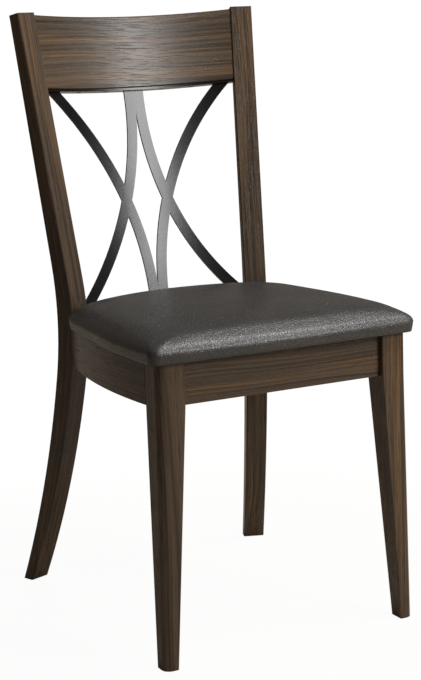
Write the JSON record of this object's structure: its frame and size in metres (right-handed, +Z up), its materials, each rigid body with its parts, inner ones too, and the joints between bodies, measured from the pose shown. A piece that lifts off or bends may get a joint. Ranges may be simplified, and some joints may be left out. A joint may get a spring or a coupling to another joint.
{
  "type": "side chair",
  "caption": "Wooden side chair with sabre-curved back posts, a bent crest rail, a curved metal lattice back insert and a padded seat.",
  "frame": {"origin": "on the floor, under the middle of the chair's outer box", "axes": "+Z up, -Y to the front, +X to the viewer's right from the front"},
  "size_m": [0.475, 0.5522, 0.965],
  "materials": {
    "wood": "dark brown stained open-grain hardwood, satin lacquer",
    "metal": "black satin powder coat",
    "screw": "zinc plated steel",
    "block_wood": "plain unfinished hardwood",
    "dowel_wood": "plain beech",
    "plywood": "plain plywood",
    "foam": "cut polyurethane foam",
    "leather": "charcoal black grained leather look, semi-matt",
    "dust_cloth": "thin black non-woven cloth"
  },
  "bodies": {
    "root": {"crest_rail": "wood", "back_post_left": "wood", "back_post_right": "wood", "insert_lattice": "metal", "insert_top_bar": "metal", "insert_bottom_bar": "metal", "insert_top_screws": "screw", "insert_bottom_screws": "screw", "front_leg_left": "wood", "front_leg_right": "wood", "front_apron": "wood", "side_apron_left": "wood", "side_apron_right": "wood", "rear_apron": "wood", "corner_block_front_left": "block_wood", "corner_block_front_right": "block_wood", "corner_block_rear_left": "block_wood", "corner_block_rear_right": "block_wood", "corner_block_screws": "screw", "seat_screws": "screw", "crest_dowels": "dowel_wood", "rear_apron_dowels": "dowel_wood", "front_apron_dowels": "dowel_wood", "side_apron_front_dowels": "dowel_wood", "side_apron_rear_dowels": "dowel_wood", "seat_board": "plywood", "seat_foam": "foam", "seat_cover": "leather", "seat_dust_cover": "dust_cloth"}
  },
  "joints": []
}
